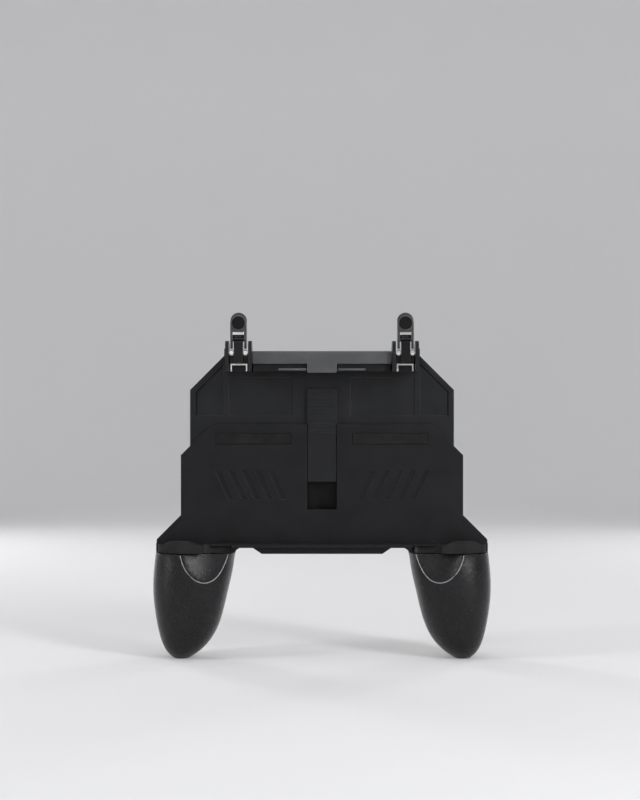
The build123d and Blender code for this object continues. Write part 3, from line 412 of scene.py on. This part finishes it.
def rim_places(node, way, seam_z):
    """Places along the rim of a thumb dish, where its surface turns most, in order round it."""
    shape = bmesh.new()
    shape.from_mesh(nodes[node].data)
    tree = BVHTree.FromBMesh(shape)
    shape.free()

    def touch(turn, share):
        """Place and surface direction at a share of the dish's half sizes, from the front."""
        x = way * (RIM_CENTRE_X - share * RIM_HALF_WIDTH * math.cos(turn))
        z = seam_z - share * RIM_HALF_HEIGHT * math.sin(turn)
        return tree.ray_cast(Vector((x, cad_low[1] - MM, z)), Vector((0, 1, 0)))[:2]

    turns = [RIM_END_TURN + (math.pi - 2 * RIM_END_TURN) * step / RIM_STEPS
             for step in range(RIM_STEPS + 1)]
    probes = [1 + RIM_REACH * (2 * step / RIM_PROBES - 1) for step in range(RIM_PROBES + 1)]
    shares = []
    for turn in turns:
        faces = [touch(turn, share)[1] for share in probes]
        bends = [(first.angle(second), share) for first, second, share
                 in zip(faces, faces[1:], probes[1:]) if first and second]
        shares.append(max(bends)[1])
    for _ in range(RIM_SMOOTH_PASSES):
        groups = [shares[max(step - 1, 0):step + 2] for step in range(len(shares))]
        shares = [sum(group) / len(group) for group in groups]
    return [touch(turn, share)[0] for turn, share in zip(turns, shares)]


def tube(name, places, radius):
    """Mesh of a thin round line through the places, kept inside the model's front."""
    data = bpy.data.curves.new(name, "CURVE")
    data.dimensions = "3D"
    data.bevel_depth = radius
    data.bevel_resolution = 3
    data.use_fill_caps = True
    line = data.splines.new("POLY")
    line.points.add(len(places) - 1)
    for point, place in zip(line.points, places):
        point.co = (place[0], max(place[1] + RIM_SINK, cad_low[1] + radius), place[2], 1)
    holder = bpy.data.objects.new(name, data)
    mesh = bpy.data.meshes.new_from_object(holder)
    bpy.data.objects.remove(holder)
    bpy.data.curves.remove(data)
    mesh.name = name
    return mesh


def rounded_plate(name, centre, size, rounding):
    """Small block with rounded edges."""
    shape = bmesh.new()
    bmesh.ops.create_cube(shape, size=1.0)
    bmesh.ops.scale(shape, vec=size, verts=shape.verts)
    bmesh.ops.bevel(shape, geom=shape.edges[:], offset=rounding, segments=3, affect="EDGES")
    bmesh.ops.translate(shape, vec=centre, verts=shape.verts)
    mesh = bpy.data.meshes.new(name)
    shape.to_mesh(mesh)
    shape.free()
    return mesh


def add_painted_rim_highlight(side, way, seam_z):
    """Painted highlight: a light line on the rim of a grip's thumb dish."""
    places = rim_places("grip_front_" + side, way, seam_z)
    rim = tube("dish_rim_highlight_" + side, places, RIM_RADIUS)
    add_piece("dish_rim_highlight_" + side, rim, "grip_" + side, finishes["rim_line"])


def add_painted_rib_highlight(side, way):
    """Painted highlight: a light grey strip on a jaw pad's rib, from the pad's inner end."""
    low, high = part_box("jaw_pad_" + side)
    inner_x = low[0] if way > 0 else high[0]
    centre = (inner_x + way * RIB_LIGHT_LENGTH / 2, low[1] - RIB_LIGHT_THICK / 2 + RIB_LIGHT_SINK,
              low[2] + RIB_LIGHT_RISE)
    rib_light_strip = rounded_plate("pad_rib_highlight_" + side, centre,
                          (RIB_LIGHT_LENGTH, RIB_LIGHT_THICK, RIB_LIGHT_HEIGHT), RIB_LIGHT_ROUND)
    add_piece("pad_rib_highlight_" + side, rib_light_strip, "jaw", finishes["inlay_grey"])


def add_arm_window(side):
    """Dark plate in a pad arm's window, behind the front of its steel fork."""
    low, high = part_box("pad_arm_" + side)
    front_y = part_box("arm_fork_" + side)[0][1] + WINDOW_SETBACK
    window = rounded_plate("arm_window_" + side,
                           ((low[0] + high[0]) / 2, front_y + WINDOW_THICK / 2, WINDOW_Z),
                           (WINDOW_WIDTH, WINDOW_THICK, WINDOW_HEIGHT), WINDOW_THICK / 3)
    add_piece("arm_window_" + side, window, "arm_" + side, finishes["lever_gloss"])


def add_coil(side):
    """Return spring: a copy of the rigid one, riding on the jaw in its place."""
    spring_node = "return_spring_" + side
    coil_mesh = nodes[spring_node].data.copy()
    coil_mesh.materials.clear()
    coil = add_piece("coil_" + side, coil_mesh, "jaw", finishes["spring_steel"])
    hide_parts(spring_node)
    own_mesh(coil)


grip_seam_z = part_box("grip_front_right")[1][2]
for side, way in (("left", -1), ("right", 1)):
    add_painted_rim_highlight(side, way, grip_seam_z)
    add_painted_rib_highlight(side, way)
    add_arm_window(side)
    add_coil(side)


# Stage, light and camera


def build_stage():
    """Pale round floor that curves up into a wall on all sides."""
    profile = [(STAGE_FLAT_RADIUS, 0.0)]
    for step in range(1, STAGE_STEPS + 1):
        angle = math.pi / 2 * step / STAGE_STEPS
        profile.append((STAGE_FLAT_RADIUS + STAGE_CORNER_RADIUS * math.sin(angle),
                        STAGE_CORNER_RADIUS * (1 - math.cos(angle))))
    profile.append((STAGE_FLAT_RADIUS + STAGE_CORNER_RADIUS, STAGE_HEIGHT))
    mesh = bpy.data.meshes.new("stage_floor")
    shape = bmesh.new()
    turns = [2 * math.pi * side / STAGE_SIDES for side in range(STAGE_SIDES)]
    rings = [[shape.verts.new((radius * math.cos(turn), radius * math.sin(turn), z))
              for turn in turns] for radius, z in profile]
    shape.faces.new(rings[0])
    for low, high in zip(rings, rings[1:]):
        for side in range(STAGE_SIDES):
            after = (side + 1) % STAGE_SIDES
            shape.faces.new((low[side], high[side], high[after], low[after]))
    for face in shape.faces:
        face.smooth = True
    shape.to_mesh(mesh)
    shape.free()
    stage = bpy.data.objects.new("stage_floor", mesh)
    bpy.context.scene.collection.objects.link(stage)
    material, tree, shader = new_material("stage_paper")
    shader.inputs["Base Color"].default_value = FLOOR_COLOR
    shader.inputs["Roughness"].default_value = FLOOR_ROUGHNESS
    shader.inputs["Specular IOR Level"].default_value = FLOOR_GLOSS
    shader.inputs["Emission Color"].default_value = (1, 1, 1, 1)
    path = add_node(tree, "ShaderNodeLightPath")
    seen = add_node(tree, "ShaderNodeMath", operation="MAXIMUM")
    tree.links.new(path.outputs["Is Camera Ray"], seen.inputs[0])
    tree.links.new(path.outputs["Is Glossy Ray"], seen.inputs[1])
    glow = add_node(tree, "ShaderNodeMath", operation="MULTIPLY")
    tree.links.new(seen.outputs["Value"], glow.inputs[0])
    glow.inputs[1].default_value = FLOOR_GLOW
    tree.links.new(glow.outputs["Value"], shader.inputs["Emission Strength"])
    mesh.materials.append(material)


def area_light(name, place, size, power):
    """Soft white lamp that looks at the model and isn't seen itself."""
    lamp = bpy.data.lights.new(name, "AREA")
    lamp.shape = "RECTANGLE"
    lamp.size, lamp.size_y = size
    lamp.energy = power
    obj = bpy.data.objects.new(name, lamp)
    obj.location = place
    way = Vector(LAMP_TARGET) - Vector(place)
    obj.rotation_euler = way.to_track_quat("-Z", "Y").to_euler()
    obj.visible_camera = False
    bpy.context.scene.collection.objects.link(obj)


def build_lights():
    """Softbox overhead, strips in front for the highlights and behind for the edges."""
    for name, (place, size, power) in LAMPS.items():
        area_light(name, place, size, power)


def build_world():
    """Even pale surroundings."""
    world = bpy.data.worlds.new("studio")
    world.use_nodes = True
    background = world.node_tree.nodes["Background"]
    background.inputs["Color"].default_value = (1, 1, 1, 1)
    background.inputs["Strength"].default_value = WORLD_STRENGTH
    bpy.context.scene.world = world


def build_camera():
    """Level camera, square on to the phone's side."""
    data = bpy.data.cameras.new("camera")
    data.lens = CAMERA_LENS_MM
    data.sensor_width = CAMERA_SENSOR_MM
    camera = bpy.data.objects.new("camera", data)
    camera.location = (CAMERA_X, -CAMERA_DISTANCE, CAMERA_HEIGHT)
    camera.rotation_euler = (math.pi / 2, 0, 0)
    bpy.context.scene.collection.objects.link(camera)
    bpy.context.scene.camera = camera


build_stage()
build_lights()
build_world()
build_camera()
bpy.context.scene.view_settings.view_transform = "Standard"
